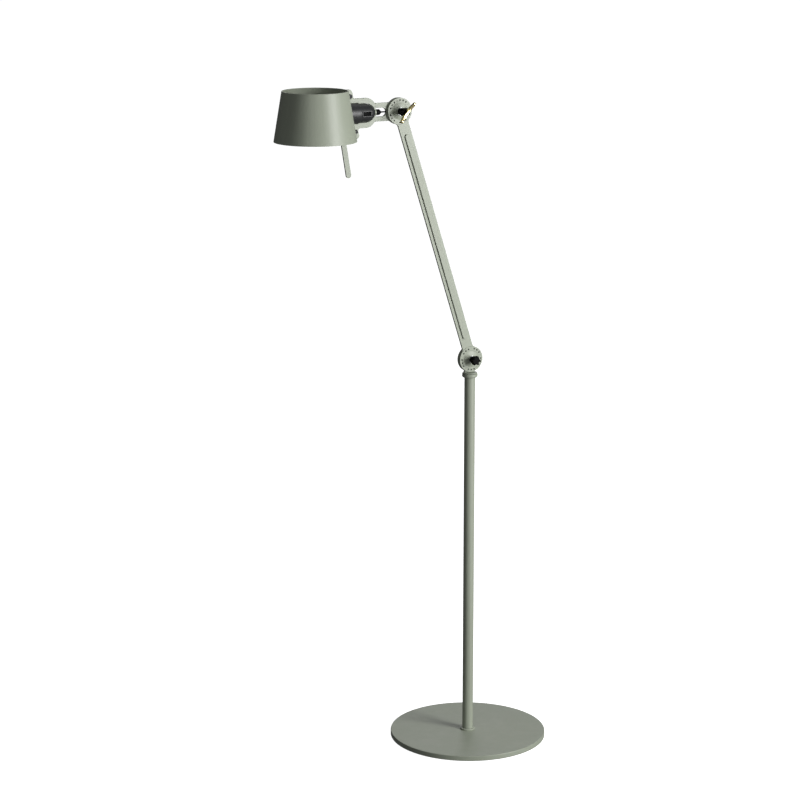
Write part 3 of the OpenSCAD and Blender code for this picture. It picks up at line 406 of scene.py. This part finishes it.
# ---- Foot ring ----
# A small turned steel ring round the pole's foot, which covers the joint between the pole and the
# base and has the same coat.
soften_node("pole_foot_ring", "sage_paint", sage_coat, radius=0.00035)


# ---- Pole ----
# A 20.5 mm steel tube with a 1.5 mm wall, coated outside. It stands on the base, and the stud and
# the threaded plug in its foot hold it down.
soften_node("pole_tube", "sage_paint", sage_coat, radius=0.0003)


# ---- Collar, bush and washer of the swivel ----
# A turned and coated collar caps the pole. The stem's spigot turns in a bush inside the pole, and
# its foot turns on a washer. Both are black acetal, a hard and slippery plastic.
soften_node("pole_collar", "sage_paint", sage_coat, radius=0.0002)
black_acetal = moulded("black_acetal", (0.022, 0.022, 0.023), gloss=0.38, grain=3500.0, depth=0.00001)
finish_node("swivel_bush", black_acetal)
finish_node("swivel_washer", black_acetal)


# ---- Leads inside the lamp ----
# Round lead in a matt black plastic sheath, in four straight lengths inside the pole, the stem,
# the arm and the head. It shows only where it crosses the slot in the head.
lead_sheath = moulded("lead_sheath", (0.007, 0.007, 0.0075), gloss=0.5, grain=2200.0, depth=0.00003)
for node in ("pole_lead", "stem_lead", "arm_lead", "head_lead"):
    finish_node(node, lead_sheath)


# ---- Swivel stem ----
# A flat steel stem with a round foot and a spigot below, and a disc above, against which the arm
# turns. The disc has a pocket in its face, where the lead bends into the arm.
soften_node("swivel_stem", "sage_paint", sage_coat, radius=0.00045)


# ---- Hinge bolts ----
# M6 button-head bolts, zinc plated, with a hexagon socket. Each comes through from the back and
# carries a friction washer between the two discs.
def key_screw(base, axis, outline, key_width, key_depth):
    """A screw turned from its outline of (radius, height) pairs, with a hexagon socket on top."""
    bm = bmesh.new()
    path = [bm.verts.new((radius, 0, height)) for radius, height in outline]
    edges = [bm.edges.new(pair) for pair in zip(path, path[1:])]
    bmesh.ops.spin(
        bm, geom=path + edges, cent=(0, 0, 0), axis=(0, 0, 1), angle=math.tau, steps=36, use_merge=True
    )
    top = outline[-1][1]
    rim = [edge for edge in bm.edges if edge.is_boundary and all(v.co.z == top for v in edge.verts)]
    on_top = Matrix.Translation((0, 0, top))
    bmesh.ops.create_circle(bm, segments=6, radius=key_width / math.sqrt(3), matrix=on_top)
    # Each side of the hexagon is cut in 6, to meet the 36 steps of the rim
    sides = [edge for edge in bm.edges if edge.is_wire]
    bmesh.ops.subdivide_edges(bm, edges=sides, cuts=5)
    sides = [edge for edge in bm.edges if edge.is_wire]
    bmesh.ops.bridge_loops(bm, edges=rim + sides)
    walls = bmesh.ops.extrude_edge_only(bm, edges=sides)["geom"]
    floor = [part for part in walls if isinstance(part, bmesh.types.BMVert)]
    bmesh.ops.translate(bm, vec=(0, 0, -key_depth), verts=floor)
    bmesh.ops.holes_fill(bm, edges=[edge for edge in bm.edges if edge.is_boundary], sides=0)
    turn = Vector((0, 0, 1)).rotation_difference(Vector(axis)).to_matrix().to_4x4()
    bmesh.ops.transform(bm, matrix=Matrix.Translation(base) @ turn, verts=bm.verts)
    bmesh.ops.recalc_face_normals(bm, faces=bm.faces)
    return bm


shank_r = 0.003
shank_chamfer = 0.0005
button_h = 0.0024
crown_inset = 0.0036
key_rim_r = 0.0028
# The side of the button head: how far inside the head's radius, and how far above its seat
button_curve = [
    (0.0002, 0), (0, 0.0002), (0, 0.0007), (0.0003, 0.0011), (0.0012, 0.0017), (0.0024, 0.0022)
]
for node in ("lower_hinge_bolt", "upper_hinge_bolt"):
    low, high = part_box(node)
    centre = Vector(((low.x + high.x) / 2, 0, (low.z + high.z) / 2))
    tip, crown = low.y, high.y
    head_r = (high.x - low.x) / 2
    seat = crown - button_h
    outline = [(shank_r - shank_chamfer, tip), (shank_r, tip + shank_chamfer), (shank_r, seat)]
    outline += [(head_r - inset, seat + rise) for inset, rise in button_curve]
    outline += [(head_r - crown_inset, crown), (key_rim_r, crown)]
    bolt = key_screw(centre, (0, 1, 0), outline, key_width=0.004, key_depth=0.0019)
    fit(bolt, node + "_finished", node, "zinc_steel", zinc_plate)
for node in ("lower_friction_washer", "upper_friction_washer"):
    finish_node(node, black_acetal)


# ---- Arm ----
# A bar of 5.2 mm steel with a dial disc at each end and a long rib along its front. Each dial has
# a low cone and a ring of marks: sunk squares, filled with black paint after coating, with small
# raised bars between them.
mark_paint, tree, shader = new_finish("black_mark_paint", {"IOR": 1.5, "Specular IOR Level": 0.04})
flecks = cloud(tree, 900.0, 3.0)
mark_colour = blend(tree, flecks, (0.003, 0.003, 0.003, 1), (0.008, 0.008, 0.008, 1))
connect(tree, shader, mark_colour, ramp(tree, flecks, 0, 1, 0.5, 0.7), flecks, depth=0.00003)

arm_t = 0.0052
cover_t = 0.0006
dial_rise = 0.0010
rib_h = 0.0026
dial_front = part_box("arm_back_cover")[0].y + cover_t - arm_t
rib_front = dial_front + dial_rise - rib_h
# The marks lie between these two radii about a hinge, and no mark is as deep as mark_limit
mark_inner_r = 0.0175
mark_outer_r = 0.0232
mark_limit = dial_front + 0.0006
# Points this near a plane lie in it, and a mark's own faces are at least this far behind the dial's
in_plane = 0.00002
mark_skin = 0.00005


def joint_place(name):
    """The point that a joint turns about, in metres."""
    found = [joint for joint in frame["joints"] if joint["name"] == name][0]
    return Vector(found["pos_m"])


def dial_reach(point):
    """How far a point of the arm is from the nearer hinge, in the arm's plane."""
    hinges = (joint_place("lower_hinge"), joint_place("upper_hinge"))
    return min(math.hypot(point.x - hinge.x, point.z - hinge.z) for hinge in hinges)


def in_marks(point, past):
    """True for a point inside a mark, at least past metres behind the dial's face."""
    in_ring = mark_inner_r < dial_reach(point) < mark_outer_r
    return in_ring and dial_front + past < point.y < mark_limit


def on_rib(edge):
    """True for an edge of the rib's front."""
    return all(abs(vert.co.y - rib_front) < in_plane for vert in edge.verts)


def off_marks(edge):
    """True for an edge that isn't one of a mark's, because those stay crisp."""
    return not all(in_marks(vert.co, -in_plane / 2) for vert in edge.verts)


bm = merged_copy("arm")
soften(bm, radius=0.0006, segments=4, chosen=on_rib)
soften(bm, radius=0.0003, chosen=off_marks)
for face in bm.faces:
    if in_marks(face.calc_center_median(), mark_skin):
        face.material_index = 1
fit(bm, "arm_finished", "arm", "sage_paint", sage_coat, mark_paint)


# ---- Back cover of the arm and its screws ----
# A thin coated strip of steel closes the lead channel in the back of the arm. Six tiny zinc-plated
# screws hold it.
finish_node("arm_back_cover", sage_coat)
finish_node("arm_cover_screws", zinc_plate)


# ---- Knobs ----
# Black moulded knobs with a neck, a flare and a six-lobed head, each over a turned brass insert
# that takes the bolt. The lampholder's contacts are the same brass.
black_plastic = moulded(
    "black_plastic", (0.003, 0.003, 0.0033), gloss=0.52, grain=4200.0, depth=0.000012, shine=0.06
)
plain_brass = plated("plain_brass", (0.83, 0.62, 0.27), (0.70, 0.48, 0.20), gloss=0.30, pitch=2400.0)
for node in ("lower_knob", "upper_knob"):
    soften_node(node, "black_plastic", black_plastic, radius=0.0004)
for node in ("lower_knob_insert", "upper_knob_insert", "lamp_contacts"):
    finish_node(node, plain_brass)


# ---- Brass wing ----
# A crescent of solid polished brass in a slot across the upper knob, to be turned by hand. Handling
# has left its polish a little uneven.
polished_brass, tree, shader = new_finish("polished_brass", {"Metallic": 1.0})
tool = use(tree, lines, Pitch=1800.0)
handled = ramp(tree, cloud(tree, 110.0, 5.0), 0.35, 0.68)
edge_mask = use(tree, edge_band, Width=0.0009)["Mask"]
warm = blend(tree, handled, (0.80, 0.68, 0.36, 1), (0.74, 0.61, 0.30, 1))
bright = blend(tree, calc(tree, "MULTIPLY", edge_mask, 0.4), warm, (0.88, 0.78, 0.48, 1))
rough = ramp(tree, handled, 0, 1, 0.14, 0.20)
connect(tree, shader, bright, rough, tool["Height"], depth=0.000001)
bm = merged_copy("brass_wing")
soften(bm, radius=0.0009, segments=4)
fit(bm, "brass_wing_finished", "brass_wing", "polished_brass", polished_brass)


# ---- Head bracket ----
# One piece of steel plate: a disc, a neck with a slot, a fork round the lampholder and a flange
# along the shade.
soften_node("head_bracket", "sage_paint", sage_coat, radius=0.00045)


# ---- Cable gland ----
# A black moulded gland, screwed on the lampholder's nipple, which grips the lead where it comes
# out into the slot.
soften_node("cable_gland", "black_plastic", black_plastic, radius=0.00025)


# ---- Lampholder ----
# A cap, barrel, collar and shade ring, moulded in black phenolic resin, round a white porcelain
# insert with a thin glaze.
black_phenolic = moulded(
    "black_phenolic", (0.026, 0.027, 0.028), gloss=0.40, grain=3800.0, depth=0.000015, shine=0.4
)
for node in ("lampholder_barrel", "lampholder_collar", "lampholder_ring"):
    soften_node(node, "black_plastic", black_phenolic, radius=0.0003)
finish_node("lampholder_cap", black_phenolic)


def pale(name, settings, grain, fine, dark, light, gloss, depth):
    """A pale finish that drifts from dark to light, and between its two values of gloss."""
    finish, tree, shader = new_finish(name, settings)
    surface = use(tree, skin, Scale=grain, Fine=fine)
    tone = blend(tree, ramp(tree, surface["Drift"], -1, 1), dark, light)
    connect(tree, shader, tone, ramp(tree, surface["Drift"], -1, 1, *gloss), surface["Height"], depth)
    return finish


porcelain = pale(
    "porcelain", {"IOR": 1.52, "Coat Weight": 0.3, "Coat Roughness": 0.1}, grain=700.0, fine=0.35,
    dark=(0.76, 0.74, 0.69, 1), light=(0.83, 0.82, 0.78, 1), gloss=(0.22, 0.3), depth=0.00003
)
finish_node("lampholder_ceramic", porcelain)


# ---- Switch ----
# A small black rocker on the front of the lampholder, in a bezel of the same phenolic resin that
# stands in a window in the cap.
soften_node("switch_bezel", "black_plastic", black_phenolic, radius=0.0002)
soften_node("switch_rocker", "black_plastic", black_plastic, radius=0.00035)


# ---- Bulb ----
# A round bulb of frosted glass, which has a fine etched grain, on a nickel-plated screw cap.
# It screws into the lampholder and hangs inside the shade.
nickel_plate = plated("nickel_plate", (0.66, 0.63, 0.58), (0.56, 0.53, 0.48), gloss=0.24, pitch=2000.0)
finish_node("bulb_cap", nickel_plate)
frosted_glass = pale(
    "frosted_glass", {"Transmission Weight": 0.55, "IOR": 1.5}, grain=1600.0, fine=0.6,
    dark=(0.86, 0.86, 0.84, 1), light=(0.92, 0.92, 0.91, 1), gloss=(0.42, 0.5), depth=0.00002
)
finish_node("bulb_glass", frosted_glass)


# ---- Shade ----
# A spun steel cone, open at both ends, with a thickened hem at each, coated inside and out. Two
# coated clips, riveted to it, take the screws of the head bracket's flange.
soften_node("shade", "sage_paint", sage_coat, radius=0.0003)
soften_node("shade_clips", "sage_paint", sage_coat, radius=0.0002)


# ---- Flange screws ----
# Two M4 cap screws in black oxide, above and below the lampholder, which hold the bracket's flange
# to the clips behind it.
black_oxide = plated("black_oxide", (0.03, 0.03, 0.031), (0.018, 0.018, 0.019), gloss=0.42, pitch=2400.0)
finish_node("flange_screws", black_oxide)


# ---- Handle ----
# A flat steel bar, coated, that hangs inside the shade from an eyelet round the lampholder. Its
# lower end stands out below the shade, to aim the head with.
soften_node("handle_bar", "sage_paint", sage_coat, radius=0.0005, segments=3)
